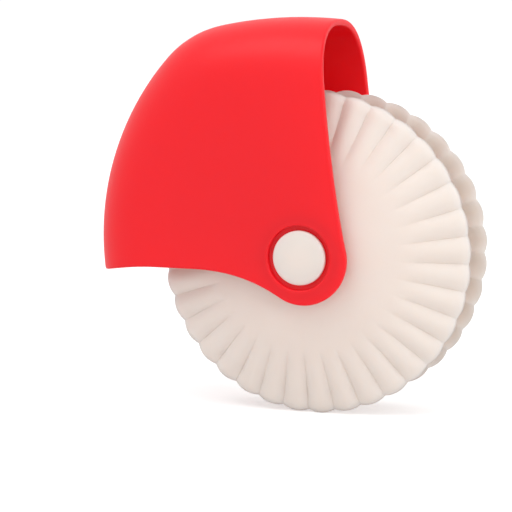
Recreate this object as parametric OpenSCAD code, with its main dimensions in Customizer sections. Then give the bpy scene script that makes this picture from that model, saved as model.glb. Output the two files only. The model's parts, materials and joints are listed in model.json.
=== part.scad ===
// Pastry cutter wheel: two fluted wheels turn side by side on a snap-together axle,
// inside a one-piece hood that is also the grip.
// The origin lies under the middle of the tool, on the surface it rolls on.
// +X is the open front, -Y is the button side of the axle and +Z is up.

/* [Wheels] */
// Radius of a wheel over its flutes
wheel_r = 36; // [30:0.5:44]
// Number of flutes round a wheel
flute_count = 36; // [24:1:44]
// Distance between the rims of the two wheels
rim_gap = 15; // [12:0.5:18]
// How far the outline drops in between two flutes
scallop_depth = 0.6; // [0.3:0.1:1]
// Depth of a groove between two flutes, at the rim
groove_depth = 1.1; // [0.6:0.1:1.3]
// Depth of the hollow behind a flute, at the rim
hollow_depth = 0.8; // [0.4:0.1:1]
// Length of a flute, from the smooth middle out to the rim
flute_length = 14.5; // [12:0.5:18]
// Fall of the dished face from the middle to the rim corner
dish_fall = 6.2; // [4:0.2:7]
// Height of the rounded corner at the rim
rim_corner = 1.7; // [1:0.1:2.5]
// Thickness of the wheel's plate
plate_wall = 2; // [1.6:0.1:2.4]
// Wall of the hub round the axle
hub_wall = 1.9; // [1.5:0.1:3]
// Length of the hub
hub_length = 9; // [7:0.5:11]
// Angle of a groove of the near wheel above the front, as it stands
near_turn = -2; // [-10:0.5:10]
// Angle of a groove of the far wheel above the front, as it stands
far_turn = -0.5; // [-10:0.5:10]

/* [Hood] */
// Room from the wheels to the outside of the hood, behind them
back_space = 16.2; // [13:0.1:20]
// Radius of the back of the hood
back_r = 61; // [58:1:70]
// Height of the hood's rearmost point over the axle
back_height = 2.2; // [0:0.1:5]
// Angle that the back turns through
back_sweep = 43.3; // [38:0.1:46]
// Radius of the shoulder between back and top
shoulder_r = 22.8; // [20:0.2:27]
// Angle that the shoulder turns through
shoulder_sweep = 35.8; // [32:0.1:40]
// Radius of the top of the hood
top_r = 93; // [80:1:120]
// Depth of the rounded crown across the hood
crown_depth = 15; // [11:0.2:17]
// Fullness of the crown: 2 rounds it as an ellipse, more makes it squarer
crown_fullness = 2.5; // [2:0.1:3]
// Place of the front edge at the top, in front of the axle
top_front = 4.2; // [0:0.1:6]
// Wall of the hood
hood_wall = 1.5; // [1.2:0.1:2]
// Narrowing of the hood on each side, for each millimetre away from the ear
side_draft = 0.05; // [0.02:0.01:0.08]
// Height of the bottom edge under the axle
bottom_drop = 3.4; // [2:0.2:5]
// How far the bottom edge dips towards the back
heel_dip = 2; // [0:0.1:3]
// Length of the dip
heel_length = 16.4; // [8:0.2:18]
// Radius of the corner between the back and the bottom edge
heel_r = 1.2; // [1:0.1:4]

/* [Ears] */
// Width of the ear's rim round the recess
ear_rim = 2.9; // [1.8:0.1:4]
// Wall of an ear
ear_wall = 2.5; // [2.2:0.1:3]
// How far the ear's middle lies in front of the axle
ear_forward = 0.8; // [0:0.1:1.2]
// How far the ear's middle lies under the axle
ear_drop = 0.4; // [0:0.1:1]
// Depth of the recess round a button
recess_depth = 1.2; // [0.8:0.1:1.4]
// Lean of the front edge where it leaves the ear
front_lean = 12; // [5:1:16]
// Length of the curve that takes the ear into the bottom edge
ear_blend = 12; // [8:0.5:14]
// Angle round the ear where its lower edge turns back
ear_exit = 238; // [236:1:250]

/* [Axle] */
// Outer radius of the axle's tube
axle_r = 3.5; // [3:0.1:4.2]
// Wall of the axle's tube
tube_wall = 1.3; // [1:0.1:1.6]
// Radius of a button
button_r = 6; // [5:0.1:7.5]
// Thickness of a button
button_thick = 1.5; // [1.2:0.1:2]
// Radius of the rounded edge of a button
button_edge = 0.5; // [0.3:0.1:0.8]
// Reach of the split pin into the tube, from its button
pin_length = 21; // [16:0.5:24]
// How far the snap bead stands out of the pin
bead_height = 0.35; // [0.2:0.05:0.4]
// Width of the slot between the legs of the pin
slot_w = 1; // [0.6:0.1:1.4]
// Wall of the sleeve between the wheels
sleeve_wall = 1.2; // [0.8:0.1:2]

/* [Clearances] */
// Radial clearance of a wheel or the sleeve on the axle
running_clearance = 0.08; // [0.05:0.01:0.1]
// Radial clearance of the axle in an ear
ear_clearance = 0.05; // [0.02:0.01:0.1]
// Radial clearance of the pin in the tube
pin_clearance = 0.04; // [0.02:0.01:0.1]
// Gap between a button and the wall of its recess
recess_gap = 1.1; // [0.5:0.1:1.5]
// Gap between a wheel's hub and the ear beside it
hub_gap = 0.7; // [0.3:0.1:1]
// Gap between a wheel's hub and the sleeve
sleeve_gap = 0.15; // [0.1:0.05:0.3]

/* [Hidden] */

round_fn = 96;
cut_over = 1;
skin_over = 0.05;

// Round pieces on the axle
wheel_bore_r = axle_r + running_clearance;
hub_r = wheel_bore_r + hub_wall;
sleeve_r = wheel_bore_r + sleeve_wall;
tube_bore_r = axle_r - tube_wall;
pin_r = tube_bore_r - pin_clearance;
recess_r = button_r + recess_gap;
ear_r = recess_r + ear_rim;

// Wheel: heights run outwards from the mid plane between the two wheels
flute_start_r = wheel_r - flute_length;
pitch = 360 / flute_count;
rim_z = rim_gap / 2;
shoulder_z = rim_z + rim_corner;
hub_face_z = shoulder_z + dish_fall;
hub_end_z = hub_face_z - hub_length;
cone_r = wheel_r - 0.9 * rim_corner;
dome_r = flute_start_r + 2.5;
groove_spread = 2.4;
cone_slope = dish_fall / (cone_r - dome_r / 2);
cusp_r = wheel_r - scallop_depth;
half_chord = cusp_r * sin(pitch / 2);
lobe_rise = wheel_r - cusp_r * cos(pitch / 2);
lobe_r = (pow(half_chord, 2) + pow(lobe_rise, 2)) / (2 * lobe_rise);
lobe_centre_r = wheel_r - lobe_r;

// Ear, axle and hood: sizes across the tool follow from the wheels
ear_inner_y = hub_face_z + hub_gap;
ear_outer_y = ear_inner_y + ear_wall;
seat_y = ear_outer_y - recess_depth;
bead_from_tip = 1.6;
bead_half = 0.7;
bead_y = seat_y - pin_length + bead_from_tip;
stem_root = button_thick / 4;
leg_length = 0.6 * pin_length;
blind_depth = pin_length / 4;
sleeve_length = 2 * (hub_end_z - sleeve_gap);

// Middles of the three arcs of the hood's outline, seen from the side, with the axle at [0, 0]
function polar(r, a) = [r * cos(a), r * sin(a)];
back_reach = wheel_r + back_space;
back_end = 180 - back_sweep;
shoulder_end = back_end - shoulder_sweep;
back_c = [back_r - back_reach, back_height];
shoulder_c = back_c + polar(back_r - shoulder_r, back_end);
top_c = shoulder_c + polar(shoulder_r - top_r, shoulder_end);
hood_top = top_c[1] + top_r;
ear_c = [ear_forward, -ear_drop];

// Where the tool stands: the lowest flute touches the ground
function off_crest(turn, a) = abs(((a - turn) % pitch + pitch) % pitch - pitch / 2);
function rim_reach(turn, a) = lobe_centre_r * cos(off_crest(turn, a)) + lobe_r;
axle_z = max(rim_reach(near_turn, -90), rim_reach(far_turn, -90));
axle_x = back_space / 2;

// Points of a quadratic curve from a to c that leans towards b
function curve(a, b, c, steps = 12) = [
    for (i = [0:steps])
        let (t = i / steps)
        pow(1 - t, 2) * a + 2 * t * (1 - t) * b + pow(t, 2) * c
];

// Points along an arc; first = 1 leaves out the point where the arc before it ends
function arc(c, r, from, to, steps, first = 0) = [
    for (i = [first:steps]) c + polar(r, from + (to - from) * i / steps)
];

// Turns a shape drawn round Z so that it lies along the axle, its top to the near side
module along_axle() {
    translate([axle_x, 0, axle_z])
        rotate([90, 0, 0])
            children();
}

// --- Wheels ---

// Height of a wheel's face over the mid plane, at radius r
function face_z(r) =
    r < dome_r
        ? hub_face_z - cone_slope * pow(r, 2) / (2 * dome_r)
        : shoulder_z + cone_slope * (cone_r - r);

// Half of a wheel's section, from the hub out to the rim and back along the inside
module wheel_section() {
    steps = 6;
    outer = [
        for (i = [1:steps])
            let (r = hub_r + (dome_r - hub_r) * i / steps)
            [r, face_z(r)]
    ];
    rim = [
        [cone_r, shoulder_z],
        [wheel_r - rim_corner / 2, rim_z + 3 * rim_corner / 4],
        [wheel_r, rim_z + rim_corner / 5],
        [wheel_r, rim_z]
    ];
    inner = [
        for (i = [steps:-1:0])
            let (r = hub_r + (cone_r - rim_corner - hub_r) * i / steps)
            [r, max(face_z(r) - plate_wall, rim_z)]
    ];
    polygon(concat(
        [[wheel_bore_r, hub_face_z], [hub_r, hub_face_z]],
        outer,
        rim,
        [[wheel_r - rim_corner, rim_z]],
        inner,
        [[hub_r, hub_end_z], [wheel_bore_r, hub_end_z]]
    ));
}

// Outline of a wheel: round lobes side by side
module lobed_outline() {
    circle(r = lobe_centre_r + lobe_r / 2, $fn = round_fn);
    for (i = [0:flute_count - 1])
        rotate((i + 0.5) * pitch)
            translate([lobe_centre_r, 0])
                circle(r = lobe_r, $fn = round_fn);
}

// V-shaped cutter that deepens from the start of the flutes to the rim.
// side is 1 to cut down into the face and -1 to cut up into the inside.
module groove_cutter(level, depth, side) {
    reach = wheel_r - flute_start_r;
    fall = cone_slope * reach;
    width = groove_spread * depth;
    steep = atan2(fall + side * depth, reach);
    translate([flute_start_r, 0, level])
        rotate([0, 90 + steep, 0])
            linear_extrude(reach / cos(steep) + 2 * depth)
                polygon([
                    [0, 0],
                    [-side * depth, width],
                    [-side * depth, -width]
                ]);
}

// A wheel, its outer face up; turn is the angle of one groove
module wheel(turn) {
    start_z = shoulder_z + cone_slope * (cone_r - flute_start_r);
    rotate(turn)
        difference() {
            intersection() {
                rotate_extrude($fn = round_fn) wheel_section();
                translate([0, 0, hub_end_z - cut_over])
                    linear_extrude(hub_length + 2 * cut_over)
                        lobed_outline();
            }
            for (i = [0:flute_count - 1]) {
                rotate(i * pitch) groove_cutter(start_z, groove_depth, 1);
                rotate((i + 0.5) * pitch) groove_cutter(start_z - plate_wall, hollow_depth, -1);
            }
        }
}

module near_wheel() {
    color("antiquewhite")
        along_axle()
            wheel(near_turn);
}

module far_wheel() {
    color("antiquewhite")
        along_axle()
            mirror([0, 0, 1])
                wheel(far_turn);
}

module spacer_sleeve() {
    color("ghostwhite")
        along_axle()
            translate([0, 0, -sleeve_length / 2])
                difference() {
                    cylinder(r = sleeve_r, h = sleeve_length, $fn = round_fn);
                    translate([0, 0, -cut_over])
                        cylinder(r = wheel_bore_r, h = sleeve_length + 2 * cut_over, $fn = round_fn);
                }
}

// --- Axle: a headed tube from the near side, a headed split pin from the far side ---

// Section of a button, its flat side at height 0
module button_section() {
    crown = 0.3 * button_thick;
    edge_z = button_thick - crown - button_edge;
    steps = 6;
    polygon(concat(
        [[0, 0], [button_r, 0]],
        arc([button_r - button_edge, edge_z], button_edge, 0, 80, steps),
        [
            for (i = [steps - 1:-1:0])
                let (r = (button_r - button_edge) * i / steps)
                [r, button_thick - crown * pow(r / button_r, 2)]
        ]
    ));
}

// Ring-shaped bead or groove: r is the surface it stands on, h its height
module bead_section(r, h, half) {
    polygon([[0, -half - h], [r, -half - h], [r + h, -half], [r + h, half], [r, half + h], [0, half + h]]);
}

module axle_socket() {
    color("antiquewhite")
        along_axle()
            difference() {
                union() {
                    translate([0, 0, seat_y]) rotate_extrude($fn = round_fn) button_section();
                    translate([0, 0, -seat_y])
                        cylinder(r = axle_r, h = 2 * seat_y + stem_root, $fn = round_fn);
                }
                translate([0, 0, -seat_y - cut_over])
                    cylinder(r = tube_bore_r, h = 2 * seat_y - blind_depth + cut_over, $fn = round_fn);
                translate([0, 0, -bead_y])
                    rotate_extrude($fn = round_fn)
                        bead_section(tube_bore_r, bead_height, bead_half);
            }
}

module axle_plug() {
    color("antiquewhite")
        along_axle()
            mirror([0, 0, 1])
                difference() {
                    union() {
                        translate([0, 0, seat_y]) rotate_extrude($fn = round_fn) button_section();
                        translate([0, 0, seat_y - pin_length])
                            cylinder(r = pin_r, h = pin_length + stem_root, $fn = round_fn);
                        translate([0, 0, bead_y])
                            rotate_extrude($fn = round_fn)
                                bead_section(pin_r, bead_height, bead_half - pin_clearance);
                    }
                    translate([-slot_w / 2, -axle_r, seat_y - pin_length - cut_over])
                        cube([slot_w, 2 * axle_r, leg_length + cut_over]);
                }
}

// --- Hood ---

// Outline of the hood, which runs on past the bottom edge and the front edge to be trimmed there
foot_end = 240;
heel_start = 188;
front_end = 84;
nose_end = 28;
outline = concat(
    arc(back_c, back_r, foot_end, heel_start, 6),
    arc(back_c, back_r, heel_start, back_end, 10, 1),
    arc(shoulder_c, shoulder_r, back_end, shoulder_end, 8, 1),
    arc(top_c, top_r, shoulder_end, front_end, 4, 1),
    arc(top_c, top_r, front_end, nose_end, 9, 1)
);

// Half-width of the hood's outside at distance r from the axle
function half_width(r) = ear_outer_y - side_draft * max(r - ear_r, 0);

// One side of a section of the hood, from beside the crown's ridge down to the ear.
// p is the point of the outline, inset is 0 outside and the wall inside, side is 1 or -1.
crown_steps = 8;
crown_power = 2 / crown_fullness;
side_foot_r = recess_r + 0.9;
function half_section(p, inset, side) =
    let (
        dir = p / norm(p),
        ridge_r = norm(p) - inset,
        depth = crown_depth - inset,
        foot = concat(dir * side_foot_r, side * (half_width(ear_r) - inset))
    )
    [
        for (i = [1:crown_steps])
            let (
                a = 90 * i / crown_steps,
                r = ridge_r - depth * (1 - pow(cos(a), crown_power))
            )
            [dir[0] * r, side * (half_width(r) - inset) * pow(sin(a), crown_power), dir[1] * r],
        [foot[0], foot[2], foot[1]]
    ];

function reversed(list) = [for (i = [len(list) - 1:-1:0]) list[i]];

// A whole section: outside from the far ear to the near one, then inside back again
function section(p) =
    let (under = p * (norm(p) - hood_wall) / norm(p))
    concat(
        reversed(half_section(p, 0, 1)),
        [[p[0], 0, p[1]]],
        half_section(p, 0, -1),
        reversed(half_section(p, hood_wall, -1)),
        [[under[0], 0, under[1]]],
        half_section(p, hood_wall, 1)
    );

// The bent shell of the hood before its edges are trimmed
module hood_shell() {
    sections = [for (p = outline) section(p)];
    n = len(sections[0]);
    last = len(sections) - 1;
    points = [for (s = sections) each s];
    skin = [
        for (k = [0:last - 1])
            for (i = [0:n - 1])
                let (
                    a = k * n + i,
                    b = k * n + (i + 1) % n,
                    c = b + n,
                    d = a + n
                )
                each [[a, c, b], [a, d, c]]
    ];
    start_cap = [
        for (i = [0:n / 2 - 2])
            each [[i, i + 1, n - 2 - i], [i, n - 2 - i, n - 1 - i]]
    ];
    end_cap = [
        for (face = start_cap)
            [for (v = reversed(face)) v + last * n]
    ];
    polyhedron(points = points, faces = concat(skin, start_cap, end_cap));
}

// Side view of the hood, which trims the shell's front and bottom edges
module side_view() {
    front_foot = ear_c + polar(ear_r, front_lean);
    front_top = [top_front, hood_top];
    front_bend = front_foot + polar((hood_top - front_foot[1]) / 2, 90 + front_lean);
    ear_leave = ear_c + polar(ear_r, ear_exit);
    bottom_z = -bottom_drop;
    leave_dir = polar(1, ear_exit - 90);
    bend = ear_leave + leave_dir * (bottom_z - ear_leave[1]) / leave_dir[1];
    blend_end = bend - [ear_blend, 0];
    dip_start = [heel_length - back_reach, bottom_z];
    dip_bend = dip_start - [0.37 * heel_length, 0];
    heel_low = [heel_r - back_reach - skin_over, bottom_z - heel_dip];
    heel_c = heel_low + [0, heel_r];
    outside = back_reach + ear_blend;
    polygon(concat(
        curve(front_top, front_bend, front_foot),
        arc(ear_c, ear_r, front_lean, ear_exit - 360, 16),
        curve(ear_leave, bend, blend_end),
        curve(dip_start, dip_bend, heel_low),
        arc(heel_c, heel_r, 270, 180, 6, 1),
        [[heel_c[0] - heel_r, back_height + heel_r], [-outside, 2 * back_height + heel_r]],
        [[-outside, hood_top + heel_r], [top_front, hood_top + heel_r]]
    ));
}

module hood() {
    span = 2 * ear_outer_y + 2 * cut_over;
    color("crimson")
        difference() {
            union() {
                translate([axle_x, 0, axle_z])
                    intersection() {
                        hood_shell();
                        translate([0, span / 2, 0])
                            rotate([90, 0, 0])
                                linear_extrude(span)
                                    side_view();
                    }
                for (side = [0, 1])
                    along_axle()
                        mirror([0, 0, side])
                            translate([ear_c[0], ear_c[1], ear_inner_y])
                                cylinder(r = ear_r, h = ear_wall, $fn = round_fn);
            }
            along_axle()
                translate([0, 0, -span / 2])
                    cylinder(r = axle_r + ear_clearance, h = span, $fn = round_fn);
            for (side = [0, 1])
                along_axle()
                    mirror([0, 0, side])
                        translate([0, 0, seat_y])
                            cylinder(r = recess_r, h = recess_depth + cut_over, $fn = round_fn);
        }
}

hood();
near_wheel();
far_wheel();
spacer_sleeve();
axle_socket();
axle_plug();
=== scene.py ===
import json
import math

import bmesh
import bpy
from mathutils import Matrix, Vector

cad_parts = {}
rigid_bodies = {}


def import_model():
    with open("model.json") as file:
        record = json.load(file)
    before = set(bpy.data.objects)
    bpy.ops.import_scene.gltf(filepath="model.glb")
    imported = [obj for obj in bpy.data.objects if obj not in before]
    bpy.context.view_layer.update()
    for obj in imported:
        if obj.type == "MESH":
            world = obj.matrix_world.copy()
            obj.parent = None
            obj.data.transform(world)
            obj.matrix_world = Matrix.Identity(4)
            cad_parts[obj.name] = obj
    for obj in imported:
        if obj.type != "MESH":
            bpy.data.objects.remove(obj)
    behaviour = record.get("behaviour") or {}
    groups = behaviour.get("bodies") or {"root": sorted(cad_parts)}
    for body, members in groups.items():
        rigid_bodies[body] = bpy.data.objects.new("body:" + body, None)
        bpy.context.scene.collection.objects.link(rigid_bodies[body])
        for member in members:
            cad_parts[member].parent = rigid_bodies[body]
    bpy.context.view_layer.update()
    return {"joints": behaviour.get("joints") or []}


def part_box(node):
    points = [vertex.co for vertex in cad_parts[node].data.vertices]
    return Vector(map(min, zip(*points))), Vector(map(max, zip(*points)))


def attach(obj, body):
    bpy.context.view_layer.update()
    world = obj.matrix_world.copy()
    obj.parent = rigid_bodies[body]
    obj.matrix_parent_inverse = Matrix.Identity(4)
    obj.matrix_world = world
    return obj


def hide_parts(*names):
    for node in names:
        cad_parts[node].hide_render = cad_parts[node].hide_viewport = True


# Pastry cutter wheel: two fluted wheels on a snap-together axle, under a one-piece hood.
# Shapes are worked out in millimetres round the axle and go into the frame at the end.
# +X is the open front, -Y is the side of the axle's socket half, +Z is up.

for leftover in list(bpy.data.objects):
    bpy.data.objects.remove(leftover)

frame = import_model()

MM = 0.001
AXLE = Vector(frame["joints"][0]["pos_m"])


def across(node):
    """Lowest and highest place of a part across the tool, in millimetres."""
    low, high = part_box(node)
    return low.y / MM, high.y / MM


# --- Sizes, in millimetres ---

HUB_END, HUB_FACE = across("far_wheel")
BUTTON_FACE = -across("axle_socket")[0]
EAR_OUTER = across("hood")[1]
SLEEVE_END = across("spacer_sleeve")[1]

WHEEL_R = 36
FLUTE_COUNT = 36
RIM_Z = 7.5
RIM_CORNER = 1.7
DISH_FALL = 6.2
FLUTE_START_R = 21.5
GROOVE_DEPTH = 1.1
HOLLOW_DEPTH = 0.8
SCALLOP_DEPTH = 0.6
SCALLOP_START_R = 28
PLATE_WALL = 2
BORE_R = 3.58
HUB_R = 5.48
NEAR_TURN = -2
FAR_TURN = -0.5

SHOULDER_Z = RIM_Z + RIM_CORNER
CONE_R = WHEEL_R - 0.9 * RIM_CORNER
DOME_R = FLUTE_START_R + 2.5
CONE_SLOPE = DISH_FALL / (CONE_R - DOME_R / 2)

BACK_REACH = 52.15
BACK_R = 61
BACK_HEIGHT = 2.15
BACK_SWEEP = 43.3
SHOULDER_R = 22.8
SHOULDER_SWEEP = 35.8
TOP_R = 93
CROWN_DEPTH = 15
CROWN_FULLNESS = 2.5
TOP_FRONT = 4.2
HOOD_WALL = 1.5
EDGE_ROUND = 0.5
SIDE_DRAFT = 0.05
BOTTOM_Z = -3.4
HEEL_DIP = 2
HEEL_LENGTH = 16.4
HEEL_BEND = 0.37
HEEL_R = 1.2
EAR_R = 10
EAR_FORWARD = 0.8
EAR_DROP = 0.4
EAR_FRONT = 12
EAR_LEAVE = 238
EAR_BLEND = 12
EAR_LAND = 0.9
RECESS_R = 7.1
RECESS_DEPTH = 1.2
EAR_HOLE_R = 3.55

BUTTON_R = 6
BUTTON_THICK = 1.5
BUTTON_EDGE = 0.5
BUTTON_SEAT = BUTTON_FACE - BUTTON_THICK
TUBE_R = 3.5
TUBE_BORE_R = 2.2
TUBE_BLIND = 5.25
PIN_R = 2.16
PIN_LENGTH = 21
SLOT_WIDTH = 1
SLOT_LENGTH = 12.6
BEAD_HEIGHT = 0.35
BEAD_HALF = 0.66
BEAD_FROM_TIP = 1.6
SLEEVE_R = 4.78


# --- Helpers ---

def polar(radius, degrees):
    """Point at a distance and an angle from the axle, seen from the side."""
    turn = math.radians(degrees)
    return Vector((radius * math.cos(turn), radius * math.sin(turn)))


def curve_point(a, b, c, t):
    """Point of a quadratic curve from a to c that leans towards b."""
    return (1 - t) ** 2 * a + 2 * t * (1 - t) * b + t ** 2 * c


def ease(t):
    """Smooth step from 0 to 1."""
    t = min(max(t, 0), 1)
    return t * t * (3 - 2 * t)


def lathe(section, steps, closed, sweep=360):
    """Mesh turned round Z from a section of (radius, height) points."""
    bm = bmesh.new()
    verts = [bm.verts.new((radius, 0, height)) for radius, height in section]
    pairs = list(zip(verts, verts[1:]))
    if closed:
        pairs.append((verts[-1], verts[0]))
    edges = [bm.edges.new(pair) for pair in pairs]
    bmesh.ops.spin(
        bm,
        geom=verts + edges,
        cent=(0, 0, 0),
        axis=(0, 0, 1),
        angle=math.radians(sweep),
        steps=steps,
        use_merge=sweep == 360,
    )
    bmesh.ops.remove_doubles(bm, verts=bm.verts, dist=1e-4)
    return bm


def along_axle(bm, near):
    """Turns a mesh made round Z so that its top points to the near or the far side."""
    if not near:
        bmesh.ops.scale(bm, vec=(1, 1, -1), verts=bm.verts)
    quarter = Matrix.Rotation(math.radians(90), 3, "X")
    bmesh.ops.rotate(bm, cent=(0, 0, 0), matrix=quarter, verts=bm.verts)


def patch(bm, columns, rows, place):
    """Grid whose corners go where place says, for their column and row."""
    grid = bmesh.ops.create_grid(bm, x_segments=columns, y_segments=rows, size=0.5)
    for vert in grid["verts"]:
        column = round((vert.co.x + 0.5) * columns)
        row = round((vert.co.y + 0.5) * rows)
        vert.co = place(column, row)


def finish_piece(bm, name, body, node, material, sharp):
    """Makes the object, in its place in the frame, and hides the part that it stands for.
    Edges that turn more than sharp degrees stay sharp."""
    bmesh.ops.scale(bm, vec=(MM, MM, MM), verts=bm.verts)
    bmesh.ops.translate(bm, vec=AXLE, verts=bm.verts)
    bmesh.ops.recalc_face_normals(bm, faces=bm.faces)
    if bm.calc_volume(signed=True) < 0:
        bmesh.ops.reverse_faces(bm, faces=bm.faces)
    mesh = bpy.data.meshes.new(name)
    bm.to_mesh(mesh)
    bm.free()
    mesh.shade_smooth()
    mesh.set_sharp_from_angle(angle=math.radians(sharp))
    mesh.materials.append(material)
    piece = bpy.data.objects.new(name, mesh)
    bpy.context.scene.collection.objects.link(piece)
    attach(piece, body)
    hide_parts(node)


# --- Materials ---

def linear(red, green, blue):
    """Colour for a shader from its 0-255 screen values."""
    def channel(value):
        share = value / 255
        return share / 12.92 if share <= 0.04045 else ((share + 0.055) / 1.055) ** 2.4
    return (channel(red), channel(green), channel(blue), 1)


def link(tree, source, target):
    tree.links.new(source, target)


def math_node(tree, operation, first, second):
    """Math node whose inputs are sockets or numbers."""
    node = tree.nodes.new("ShaderNodeMath")
    node.operation = operation
    for socket, value in zip(node.inputs, (first, second)):
        if isinstance(value, (int, float)):
            socket.default_value = value
        else:
            link(tree, value, socket)
    return node.outputs[0]


def moulded_skin_group():
    """Skin of moulded plastic: faint clouding of colour and gloss, and a fine satin grain."""
    group = bpy.data.node_groups.new("moulded_skin", "ShaderNodeTree")
    face = group.interface
    for name, kind, value in (
        ("Color", "NodeSocketColor", (0.8, 0.8, 0.8, 1)),
        ("Deep Color", "NodeSocketColor", (0.6, 0.6, 0.6, 1)),
        ("Clouding", "NodeSocketFloat", 0.1),
        ("Roughness", "NodeSocketFloat", 0.45),
        ("Roughness Spread", "NodeSocketFloat", 0.06),
        ("Grain Scale", "NodeSocketFloat", 3000),
    ):
        socket = face.new_socket(name, in_out="INPUT", socket_type=kind)
        socket.default_value = value
    face.new_socket("Color", in_out="OUTPUT", socket_type="NodeSocketColor")
    face.new_socket("Roughness", in_out="OUTPUT", socket_type="NodeSocketFloat")
    face.new_socket("Height", in_out="OUTPUT", socket_type="NodeSocketFloat")
    source = group.nodes.new("NodeGroupInput").outputs
    target = group.nodes.new("NodeGroupOutput").inputs
    place = group.nodes.new("ShaderNodeTexCoord").outputs["Object"]

    cloud = group.nodes.new("ShaderNodeTexNoise")
    cloud.inputs["Scale"].default_value = 90
    cloud.inputs["Detail"].default_value = 3
    link(group, place, cloud.inputs["Vector"])
    share = math_node(group, "MULTIPLY", cloud.outputs["Fac"], source["Clouding"])
    mix = group.nodes.new("ShaderNodeMix")
    mix.data_type = "RGBA"
    link(group, share, mix.inputs["Factor"])
    link(group, source["Color"], mix.inputs["A"])
    link(group, source["Deep Color"], mix.inputs["B"])
    link(group, mix.outputs["Result"], target["Color"])

    grain = group.nodes.new("ShaderNodeTexNoise")
    grain.inputs["Detail"].default_value = 2
    grain.inputs["Roughness"].default_value = 0.6
    link(group, place, grain.inputs["Vector"])
    link(group, source["Grain Scale"], grain.inputs["Scale"])
    grain_swing = math_node(group, "SUBTRACT", grain.outputs["Fac"], 0.5)
    cloud_swing = math_node(group, "SUBTRACT", cloud.outputs["Fac"], 0.5)
    swing = math_node(group, "ADD", grain_swing, cloud_swing)
    spread = math_node(group, "MULTIPLY", swing, source["Roughness Spread"])
    link(group, math_node(group, "ADD", source["Roughness"], spread), target["Roughness"])
    link(group, grain.outputs["Fac"], target["Height"])
    return group


MOULDED_SKIN = moulded_skin_group()
GRAIN_HEIGHT = 0.00002


def plastic(name, color, deep_color, clouding, roughness, grain_scale, soft, glow):
    """Moulded plastic: skin group, bump and one Principled shader. soft is the share of light
    that goes into the plastic, and glow is how far each colour of it travels, in millimetres."""
    material = bpy.data.materials.new(name)
    material.use_nodes = True
    tree = material.node_tree
    shader = tree.nodes["Principled BSDF"]
    skin = tree.nodes.new("ShaderNodeGroup")
    skin.node_tree = MOULDED_SKIN
    skin.inputs["Color"].default_value = color
    skin.inputs["Deep Color"].default_value = deep_color
    skin.inputs["Clouding"].default_value = clouding
    skin.inputs["Roughness"].default_value = roughness
    skin.inputs["Grain Scale"].default_value = grain_scale
    bump = tree.nodes.new("ShaderNodeBump")
    bump.inputs["Strength"].default_value = 0.5
    bump.inputs["Distance"].default_value = GRAIN_HEIGHT
    link(tree, skin.outputs["Color"], shader.inputs["Base Color"])
    link(tree, skin.outputs["Roughness"], shader.inputs["Roughness"])
    link(tree, skin.outputs["Height"], bump.inputs["Height"])
    link(tree, bump.outputs["Normal"], shader.inputs["Normal"])
    shader.inputs["IOR"].default_value = 1.48
    shader.inputs["Specular IOR Level"].default_value = 0.35
    shader.inputs["Subsurface Weight"].default_value = soft
    shader.inputs["Subsurface Radius"].default_value = glow
    shader.inputs["Subsurface Scale"].default_value = MM
    return material


RED_PLASTIC = plastic(
    "red_plastic",
    color=linear(249, 20, 34),
    deep_color=linear(242, 16, 29),
    clouding=0.5,
    roughness=0.42,
    grain_scale=2600,
    soft=0.6,
    glow=(4, 0.2, 0.2),
)
IVORY_PLASTIC = plastic(
    "ivory_plastic",
    color=linear(236, 224, 216),
    deep_color=linear(230, 216, 207),
    clouding=0.5,
    roughness=0.45,
    grain_scale=2200,
    soft=0.6,
    glow=(3, 2.6, 2.3),
)
SLEEVE_PLASTIC = plastic(
    "sleeve_plastic",
    color=linear(236, 234, 230),
    deep_color=linear(228, 226, 222),
    clouding=0.4,
    roughness=0.5,
    grain_scale=2200,
    soft=0.3,
    glow=(2, 2, 2),
)


# --- Wheels ---

PITCH = 360 / FLUTE_COUNT
FLUTE_STEPS = 16
# Power that rounds a flute across its width, and the one by which its groove deepens outwards
FLUTE_ROUNDNESS = 0.8
FLUTE_GROWTH = 0.7
# How much sooner than at the rim the groove is at its full depth
FLUTE_GAIN = 1.3
# Share of the flute's length over which the groove starts
FLUTE_RUN_IN = 0.15
# Where the groove gets shallower again, and how much shallower it is at the rim
SHALLOW_START_R = 32
SHALLOWING = 0.4
CUSP_R = WHEEL_R - SCALLOP_DEPTH
HALF_CHORD = CUSP_R * math.sin(math.radians(PITCH / 2))
LOBE_RISE = WHEEL_R - CUSP_R * math.cos(math.radians(PITCH / 2))
LOBE_R = (HALF_CHORD ** 2 + LOBE_RISE ** 2) / (2 * LOBE_RISE)
LOBE_CENTRE_R = WHEEL_R - LOBE_R


def face_z(r):
    """Height of a wheel's smooth face over the middle of the tool."""
    if r < DOME_R:
        return SHOULDER_Z + DISH_FALL - CONE_SLOPE * r ** 2 / (2 * DOME_R)
    return SHOULDER_Z + CONE_SLOPE * (CONE_R - r)


def inner_z(r):
    """Height of the inside of a wheel's plate."""
    return max(face_z(r) - PLATE_WALL, RIM_Z)


def along_surface(height, start_r, end_r, steps, first=0):
    """Points of a section between two radii, at the heights that a function gives."""
    radii = [start_r + (end_r - start_r) * i / steps for i in range(first, steps + 1)]
    return [(r, height(r)) for r in radii]


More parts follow.
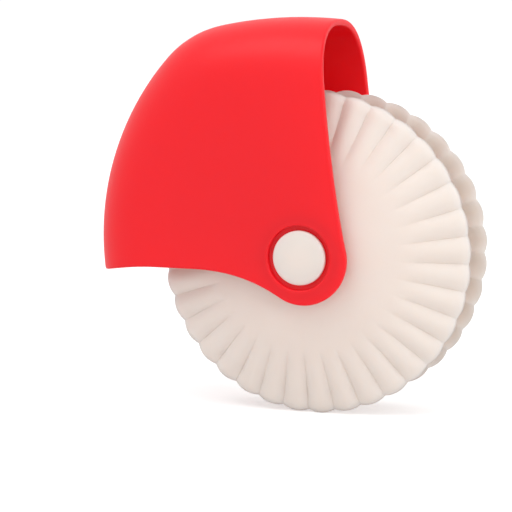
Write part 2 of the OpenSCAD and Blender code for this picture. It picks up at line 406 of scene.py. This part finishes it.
def wheel_section():
    """Half of a wheel's section: hub face, dish, rim corner, rim, inside and hub."""
    chamfer = 0.25
    points = [(BORE_R, HUB_FACE - chamfer), (BORE_R + chamfer, HUB_FACE)]
    points += along_surface(face_z, HUB_R, DOME_R, 14)
    points += along_surface(face_z, DOME_R, CONE_R - 0.3, 16, first=1)
    start = Vector(points[-1])
    bend = Vector((WHEEL_R - chamfer, SHOULDER_Z - 0.45))
    end = Vector((WHEEL_R, RIM_Z + chamfer))
    points += [tuple(curve_point(start, bend, end, i / 7)) for i in range(1, 8)]
    points += [(WHEEL_R - 0.07, RIM_Z + 0.07), (WHEEL_R - chamfer, RIM_Z)]
    inside_end = HUB_R + 0.8
    points += along_surface(inner_z, WHEEL_R - 1.3, inside_end, 36)
    root = inner_z(inside_end)
    points += [(HUB_R + 0.3, root - 0.15), (HUB_R + 0.06, root - 0.5), (HUB_R, root - 1)]
    points += [(HUB_R, HUB_END + 0.3), (HUB_R - 0.3, HUB_END)]
    points += [(BORE_R + chamfer, HUB_END), (BORE_R, HUB_END + chamfer)]
    return points


def flute_share(r):
    """Share of a groove's full depth, at a distance from the axle."""
    reach = (r - FLUTE_START_R) / (WHEEL_R - FLUTE_START_R)
    growth = min(1, FLUTE_GAIN * reach ** FLUTE_GROWTH)
    near_rim = ease((r - SHALLOW_START_R) / (WHEEL_R - SHALLOW_START_R))
    return growth * ease(reach / FLUTE_RUN_IN) * (1 - SHALLOWING * near_rim)


def press_flute(bm):
    """Presses one flute into a slice of a wheel that is one pitch wide, and rounds its rim."""
    for vert in bm.verts:
        x, y, z = vert.co
        r = math.hypot(x, y)
        if r < FLUTE_START_R:
            continue
        across_flute = math.degrees(math.atan2(y, x)) / PITCH - 0.5
        pillow = max(0, math.cos(math.pi * across_flute)) ** FLUTE_ROUNDNESS
        share = flute_share(r)
        is_outside = z > face_z(r) - PLATE_WALL / 2 if r < CONE_R else z > RIM_Z + 0.1
        if is_outside:
            fade = 1 if r < CONE_R else min(1, (z - RIM_Z) / RIM_CORNER + 0.25)
            z -= GROOVE_DEPTH * share * (1 - pillow) * fade
        else:
            z += HOLLOW_DEPTH * share * pillow
        off_crest = math.radians(abs(across_flute) * PITCH)
        side_step = LOBE_CENTRE_R * math.sin(off_crest)
        lobe = LOBE_CENTRE_R * math.cos(off_crest) + math.sqrt(LOBE_R ** 2 - side_step ** 2)
        scallop = ease((r - SCALLOP_START_R) / (WHEEL_R - SCALLOP_START_R))
        scale = 1 - (1 - lobe / WHEEL_R) * scallop
        vert.co = (x * scale, y * scale, z)


def make_wheel(name, body, turn, near):
    """One slice with its flute, repeated round the hub."""
    bm = lathe(wheel_section(), FLUTE_STEPS, closed=True, sweep=PITCH)
    press_flute(bm)
    bmesh.ops.spin(
        bm,
        geom=bm.verts[:] + bm.edges[:] + bm.faces[:],
        cent=(0, 0, 0),
        axis=(0, 0, 1),
        angle=math.radians(360 - PITCH),
        steps=FLUTE_COUNT - 1,
        use_duplicate=True,
    )
    bmesh.ops.remove_doubles(bm, verts=bm.verts, dist=1e-3)
    bmesh.ops.rotate(
        bm, cent=(0, 0, 0), matrix=Matrix.Rotation(math.radians(turn), 3, "Z"), verts=bm.verts
    )
    along_axle(bm, near)
    finish_piece(bm, name, body, body, IVORY_PLASTIC, sharp=60)


make_wheel("near_wheel_dish", "near_wheel", NEAR_TURN, near=True)
make_wheel("far_wheel_dish", "far_wheel", FAR_TURN, near=False)


# --- Sleeve and axle ---

def make_sleeve():
    corner = 0.2
    flat = SLEEVE_END - corner
    section = [(SLEEVE_R, -flat), (SLEEVE_R, flat)]
    section += [(SLEEVE_R - corner, SLEEVE_END), (BORE_R + corner, SLEEVE_END)]
    section += [(BORE_R, flat), (BORE_R, -flat)]
    section += [(BORE_R + corner, -SLEEVE_END), (SLEEVE_R - corner, -SLEEVE_END)]
    bm = lathe(section, 96, closed=True)
    along_axle(bm, near=True)
    finish_piece(bm, "spacer_tube", "root", "spacer_sleeve", SLEEVE_PLASTIC, sharp=50)


def button_section():
    """Half of a button's section, from its middle over the rounded edge to its underside."""
    crown = 0.3 * BUTTON_THICK
    flat_r = BUTTON_R - BUTTON_EDGE
    radii = [flat_r * i / 10 for i in range(10)]
    points = [(r, BUTTON_FACE - crown * (r / BUTTON_R) ** 2) for r in radii]
    middle = Vector((flat_r, BUTTON_FACE - crown - BUTTON_EDGE))
    points += [tuple(middle + polar(BUTTON_EDGE, angle)) for angle in range(80, -1, -10)]
    points += [(BUTTON_R, BUTTON_SEAT + 0.12), (BUTTON_R - 0.12, BUTTON_SEAT)]
    return points


def make_socket():
    """Headed tube, blind at its button."""
    tip = -BUTTON_SEAT
    bottom = BUTTON_SEAT - TUBE_BLIND
    section = button_section()
    section += [(TUBE_R, BUTTON_SEAT), (TUBE_R, tip + 0.3), (TUBE_R - 0.3, tip)]
    section += [(TUBE_BORE_R + 0.2, tip), (TUBE_BORE_R, tip + 0.2), (TUBE_BORE_R, bottom), (0, bottom)]
    bm = lathe(section, 128, closed=False)
    along_axle(bm, near=True)
    finish_piece(bm, "axle_socket_half", "root", "axle_socket", IVORY_PLASTIC, sharp=50)


def make_plug():
    """Headed split pin: turned whole, then slotted from its tip."""
    tip = BUTTON_SEAT - PIN_LENGTH
    bead = tip + BEAD_FROM_TIP
    bead_r = PIN_R + BEAD_HEIGHT
    foot = BEAD_HALF + BEAD_HEIGHT
    section = button_section()
    section += [(PIN_R, BUTTON_SEAT), (PIN_R, bead + foot), (bead_r, bead + BEAD_HALF)]
    section += [(bead_r, bead - BEAD_HALF), (PIN_R, bead - foot)]
    section += [(PIN_R, tip + 0.3), (PIN_R - 0.3, tip), (0, tip)]
    bm = lathe(section, 128, closed=False)
    bmesh.ops.recalc_face_normals(bm, faces=bm.faces)
    whole = bpy.data.meshes.new("pin_whole")
    bm.to_mesh(whole)
    bm.free()
    pin = bpy.data.objects.new("pin_whole", whole)
    cutter_bm = bmesh.new()
    bmesh.ops.create_cube(cutter_bm, size=1)
    bmesh.ops.scale(cutter_bm, vec=(SLOT_WIDTH, 3 * PIN_R, SLOT_LENGTH + 2), verts=cutter_bm.verts)
    bmesh.ops.translate(cutter_bm, vec=(0, 0, tip + SLOT_LENGTH / 2 - 1), verts=cutter_bm.verts)
    cutter_mesh = bpy.data.meshes.new("pin_slot")
    cutter_bm.to_mesh(cutter_mesh)
    cutter_bm.free()
    cutter = bpy.data.objects.new("pin_slot", cutter_mesh)
    for thing in (pin, cutter):
        bpy.context.scene.collection.objects.link(thing)
    cut = pin.modifiers.new("slot", "BOOLEAN")
    cut.operation = "DIFFERENCE"
    cut.object = cutter
    slotted = pin.evaluated_get(bpy.context.evaluated_depsgraph_get()).to_mesh()
    bm = bmesh.new()
    bm.from_mesh(slotted)
    for thing in (pin, cutter):
        bpy.data.objects.remove(thing)
    along_axle(bm, near=False)
    finish_piece(bm, "axle_plug_half", "root", "axle_plug", IVORY_PLASTIC, sharp=40)


make_sleeve()
make_socket()
make_plug()


# --- Hood ---

BACK_END = 180 - BACK_SWEEP
SHOULDER_END = BACK_END - SHOULDER_SWEEP
BACK_C = Vector((BACK_R - BACK_REACH, BACK_HEIGHT))
SHOULDER_C = BACK_C + polar(BACK_R - SHOULDER_R, BACK_END)
TOP_C = SHOULDER_C + polar(SHOULDER_R - TOP_R, SHOULDER_END)
HOOD_TOP = TOP_C.y + TOP_R
EAR_C = Vector((EAR_FORWARD, -EAR_DROP))
SKIN_EAR_R = EAR_R - EDGE_ROUND
ARC_ENDS = (BACK_C + polar(BACK_R, BACK_END), SHOULDER_C + polar(SHOULDER_R, SHOULDER_END))
ARC_END_ANGLES = [math.atan2(point.y, point.x) for point in ARC_ENDS]

UPPER_STEPS = 116
LOWER_STEPS = 64
CROWN_STEPS = 16
SIDE_STEPS = 14
CROWN_SHARE = 0.32


def ridge_reach(direction):
    """Distance from the axle to the hood's outline, in a direction seen from the side."""
    angle = math.atan2(direction.y, direction.x) % math.tau
    if angle > ARC_END_ANGLES[0]:
        centre, radius = BACK_C, BACK_R
    elif angle > ARC_END_ANGLES[1]:
        centre, radius = SHOULDER_C, SHOULDER_R
    else:
        centre, radius = TOP_C, TOP_R
    along = direction.dot(centre)
    return along + math.sqrt(radius ** 2 - centre.length_squared + along ** 2)


def crown_partner(share):
    """Share of the width that goes with a share of the crown's depth, or the other way round."""
    return (1 - share ** CROWN_FULLNESS) ** (1 / CROWN_FULLNESS)


def half_width(point):
    """Distance from the middle of the tool to the hood's outside, at a point seen from the side."""
    r = point.length
    inset = ridge_reach(point.normalized()) - r
    width = EAR_OUTER - SIDE_DRAFT * max(r - EAR_R, 0)
    if inset >= CROWN_DEPTH:
        return width
    return width * crown_partner(1 - max(inset, 0) / CROWN_DEPTH)


def outline_point(s):
    """Point of the hood's outline, from the heel at 0 to the front edge at 1."""
    heel_z = BOTTOM_Z - HEEL_DIP + HEEL_R + EDGE_ROUND
    start = 180 - math.degrees(math.asin((heel_z - BACK_HEIGHT) / BACK_R))
    front_x = TOP_FRONT - EDGE_ROUND
    stop = math.degrees(math.acos((front_x - TOP_C.x) / TOP_R))
    arcs = (
        (BACK_C, BACK_R, start, start - BACK_END),
        (SHOULDER_C, SHOULDER_R, BACK_END, SHOULDER_SWEEP),
        (TOP_C, TOP_R, SHOULDER_END, SHOULDER_END - stop),
    )
    left = s * sum(radius * math.radians(sweep) for centre, radius, begin, sweep in arcs)
    for centre, radius, begin, sweep in arcs:
        length = radius * math.radians(sweep)
        if left <= length or radius == TOP_R:
            return centre + polar(radius, begin - math.degrees(left / radius))
        left -= length


def ring_point(k):
    """Point of the loop round the ear: column 0 is where the bottom edge leaves the ear,
    UPPER_STEPS is where the front edge leaves it, and the rest follow the ear's own edge."""
    front = EAR_C + polar(SKIN_EAR_R, EAR_FRONT)
    leave = EAR_C + polar(SKIN_EAR_R, EAR_LEAVE)
    if k >= UPPER_STEPS or k == 0:
        share = (k - UPPER_STEPS) / LOWER_STEPS if k else 1
        return EAR_C + polar(SKIN_EAR_R, EAR_FRONT + share * (EAR_LEAVE - 360 - EAR_FRONT))
    front_angle = math.degrees(math.atan2(front.y, front.x))
    leave_angle = math.degrees(math.atan2(leave.y, leave.x)) % 360
    angle = leave_angle + (front_angle - leave_angle) * k / UPPER_STEPS
    middle_r = RECESS_R + EAR_LAND
    decay = 20
    radius = middle_r
    radius += (front.length - middle_r) * math.exp(-(angle - front_angle) / decay)
    radius += (leave.length - middle_r) * math.exp(-(leave_angle - angle) / decay)
    return polar(radius, angle)


def heel_fall(x):
    """How far the bottom edge dips, at a place along it."""
    past = max(HEEL_LENGTH - BACK_REACH - x, 0)
    gentle = 2 * HEEL_BEND * HEEL_LENGTH
    steep = HEEL_LENGTH - HEEL_R - gentle
    share = (math.sqrt(gentle ** 2 + 4 * steep * past) - gentle) / (2 * steep)
    return HEEL_DIP * min(share, 1) ** 2


def bottom_point(t):
    """Point of the bottom edge, from the ear at 0 to the heel at 1."""
    leave = EAR_C + polar(SKIN_EAR_R, EAR_LEAVE)
    edge_z = BOTTOM_Z + EDGE_ROUND
    direction = polar(1, EAR_LEAVE - 90)
    bend = leave + direction * ((edge_z - leave.y) / direction.y)
    blend_end = bend - Vector((EAR_BLEND, 0))
    heel_x = outline_point(0).x
    blend_length = (leave - blend_end).length
    full = blend_length + blend_end.x - heel_x
    travelled = t * full
    if travelled < blend_length:
        return curve_point(leave, bend, blend_end, travelled / blend_length)
    x = blend_end.x - (travelled - blend_length)
    lift = HEEL_R * max(0, 1 - (x - heel_x) / HEEL_R) ** 3
    return Vector((x, edge_z - heel_fall(x) + lift))


def front_point(t):
    """Point of the front edge, from the ear at 0 to the crown at 1."""
    foot = EAR_C + polar(SKIN_EAR_R, EAR_FRONT)
    bend = foot + polar((HOOD_TOP - foot.y) / 2, 90 + EAR_FRONT)
    return curve_point(foot, bend, outline_point(1), t)


def side_point(s, t):
    """Point of the hood's side, seen from the side: s runs from the bottom edge to the front
    edge, t from the ear to the outline."""
    k = round(s * UPPER_STEPS)
    ear, ridge = ring_point(k), outline_point(s)
    point = ear.lerp(ridge, t)
    bottom_bow = bottom_point(t) - ring_point(0).lerp(outline_point(0), t)
    front_bow = front_point(t) - ring_point(UPPER_STEPS).lerp(outline_point(1), t)
    return point + bottom_bow * (1 - s) ** 2 + front_bow * s ** 2


HEIGHT_SHARES = [(1 - CROWN_SHARE) * i / SIDE_STEPS for i in range(SIDE_STEPS)]
HEIGHT_SHARES += [
    1 - CROWN_SHARE * (1 - crown_partner(math.cos(math.radians(90 * i / CROWN_STEPS))))
    for i in range(CROWN_STEPS + 1)
]
HALF_ROWS = len(HEIGHT_SHARES) - 1


def recess_steps():
    """Section of the recess round a button, from the ear's face to its hole."""
    floor_y = EAR_OUTER - RECESS_DEPTH
    steps = [(RECESS_R + 0.3, EAR_OUTER), (RECESS_R + 0.15, EAR_OUTER - 0.04)]
    steps += [(RECESS_R + 0.04, EAR_OUTER - 0.15), (RECESS_R, EAR_OUTER - 0.3)]
    steps += [(RECESS_R, floor_y + 0.25), (RECESS_R - 0.07, floor_y + 0.07)]
    steps += [(RECESS_R - 0.25, floor_y), (RECESS_R - 1.6, floor_y)]
    return steps + [(EAR_HOLE_R + EDGE_ROUND, floor_y)]


def hood_skin():
    """Outside of the hood as one open sheet: bent side to side over the crown, with an ear,
    its recess and its hole on each side."""
    bm = bmesh.new()
    steps_in = recess_steps()

    def shell_place(column, row):
        side = -1 if row < HALF_ROWS else 1
        t = HEIGHT_SHARES[row if row < HALF_ROWS else 2 * HALF_ROWS - row]
        point = side_point(column / UPPER_STEPS, t)
        y = side * half_width(point) if t < 1 else 0
        return (point.x, y, point.y)

    patch(bm, UPPER_STEPS, 2 * HALF_ROWS, shell_place)

    for side in (-1, 1):
        def ear_place(column, row):
            outer = ring_point(column % (UPPER_STEPS + LOWER_STEPS))
            if row == 0:
                return (outer.x, side * half_width(outer), outer.y)
            first = outer.normalized() * steps_in[0][0]
            if row == 1:
                point = outer.lerp(first, 0.5)
                return (point.x, side * half_width(point), point.y)
            radius, y = steps_in[row - 2]
            point = outer.normalized() * radius
            return (point.x, side * y, point.y)

        patch(bm, UPPER_STEPS + LOWER_STEPS, len(steps_in) + 1, ear_place)
    bmesh.ops.remove_doubles(bm, verts=bm.verts, dist=1e-4)
    bmesh.ops.recalc_face_normals(bm, faces=bm.faces)
    outside = max(bm.faces, key=lambda face: face.calc_center_median().z)
    if outside.normal.z < 0:
        bmesh.ops.reverse_faces(bm, faces=bm.faces)
    bm.normal_update()
    return bm


def edge_profile():
    """Section of the hood's edge: how far each step stands out, and how deep it lies."""
    corner = [(EDGE_ROUND * math.sin(math.radians(a)), EDGE_ROUND * (1 - math.cos(math.radians(a))))
              for a in (18, 36, 54, 72, 90)]
    back = [(out, HOOD_WALL - deep) for out, deep in reversed(corner)]
    return corner + back + [(0, HOOD_WALL)]


def make_hood():
    """Hood of even thickness: the sheet, a copy of it further in and a rounded edge between."""
    bm = hood_skin()
    outer_faces = list(bm.faces)
    rest = {vert: (vert.co.copy(), vert.normal.copy(), vert.calc_shell_factor()) for vert in bm.verts}
    rim_edges = [edge for edge in bm.edges if edge.is_boundary]
    outward = {}
    for edge in rim_edges:
        face = edge.link_faces[0]
        middle = (edge.verts[0].co + edge.verts[1].co) / 2
        along = (edge.verts[1].co - edge.verts[0].co).normalized()
        out = along.cross(face.normal)
        if out.dot(middle - face.calc_center_median()) < 0:
            out.negate()
        for vert in edge.verts:
            outward[vert] = outward.get(vert, Vector()) + out

    inner = bmesh.ops.duplicate(bm, geom=outer_faces)
    for outer_vert, inner_vert in inner["vert_map"].items():
        if outer_vert in rest:
            place, normal, factor = rest[outer_vert]
            depth = HOOD_WALL * (factor if outer_vert not in outward else 1)
            inner_vert.co = place - normal * depth
    inner_faces = [item for item in inner["geom"] if isinstance(item, bmesh.types.BMFace)]
    bmesh.ops.reverse_faces(bm, faces=inner_faces)

    source = {vert: vert for vert in outward}
    edges = rim_edges
    for out, deep in edge_profile():
        made = bmesh.ops.extrude_edge_only(bm, edges=edges)["geom"]
        edges = [item for item in made if isinstance(item, bmesh.types.BMEdge)]
        moved = {}
        for vert in (item for item in made if isinstance(item, bmesh.types.BMVert)):
            before = next(e.other_vert(vert) for e in vert.link_edges if e.other_vert(vert) in source)
            root = source[before]
            place, normal = rest[root][:2]
            vert.co = place + outward[root].normalized() * out - normal * deep
            moved[vert] = root
        source = moved
    bmesh.ops.remove_doubles(bm, verts=bm.verts, dist=1e-3)
    finish_piece(bm, "hood_moulding", "root", "hood", RED_PLASTIC, sharp=60)


make_hood()


# --- Stage, light and camera ---

ROOM_LIGHT = 0.9
FLOOR_GLOW = 0.45


def make_floor():
    bm = bmesh.new()
    bmesh.ops.create_grid(bm, x_segments=1, y_segments=1, size=6)
    mesh = bpy.data.meshes.new("floor")
    bm.to_mesh(mesh)
    bm.free()
    material = bpy.data.materials.new("floor_paint")
    material.use_nodes = True
    shader = material.node_tree.nodes["Principled BSDF"]
    shader.inputs["Base Color"].default_value = (0.78, 0.78, 0.78, 1)
    shader.inputs["Roughness"].default_value = 0.7
    shader.inputs["Specular IOR Level"].default_value = 0.2
    shader.inputs["Emission Color"].default_value = (1, 1, 1, 1)
    tree = material.node_tree
    seen = tree.nodes.new("ShaderNodeLightPath").outputs["Is Camera Ray"]
    link(tree, math_node(tree, "MULTIPLY", seen, FLOOR_GLOW), shader.inputs["Emission Strength"])
    mesh.materials.append(material)
    floor = bpy.data.objects.new("floor", mesh)
    bpy.context.scene.collection.objects.link(floor)


def make_light(name, direction, distance, size, power):
    """Soft square lamp that shines on the axle from a direction."""
    lamp = bpy.data.lights.new(name, "AREA")
    lamp.shape = "SQUARE"
    lamp.size = size
    lamp.energy = power
    light = bpy.data.objects.new(name, lamp)
    away = Vector(direction).normalized()
    light.location = AXLE + away * distance
    light.rotation_mode = "QUATERNION"
    light.rotation_quaternion = away.to_track_quat("Z", "Y")
    bpy.context.scene.collection.objects.link(light)


def make_world():
    """Even white room: softer as a light than it looks behind the object."""
    world = bpy.data.worlds.new("studio")
    world.use_nodes = True
    tree = world.node_tree
    background = tree.nodes["Background"]
    background.inputs["Color"].default_value = (1, 1, 1, 1)
    seen = tree.nodes.new("ShaderNodeLightPath").outputs["Is Camera Ray"]
    extra = math_node(tree, "MULTIPLY", seen, 1.05 - ROOM_LIGHT)
    link(tree, math_node(tree, "ADD", extra, ROOM_LIGHT), background.inputs["Strength"])
    bpy.context.scene.world = world


def make_camera():
    data = bpy.data.cameras.new("camera")
    data.sensor_width = 36
    data.lens = 123.9
    data.shift_x = -0.134
    data.shift_y = -0.0125
    data.clip_start = 0.02
    data.clip_end = 30
    camera = bpy.data.objects.new("camera", data)
    back = Vector((0.3075, -0.9454, 0.1082))
    camera.location = AXLE + back * 0.4
    camera.rotation_mode = "QUATERNION"
    camera.rotation_quaternion = back.to_track_quat("Z", "Y")
    bpy.context.scene.collection.objects.link(camera)
    bpy.context.scene.camera = camera


make_floor()
make_light("key", (-0.2, -0.46, 0.86), 0.7, 0.4, 1.2)
make_light("fill", (0.95, -0.4, 0.25), 0.8, 0.4, 1.2)
make_world()
make_camera()
bpy.context.scene.view_settings.view_transform = "Standard"
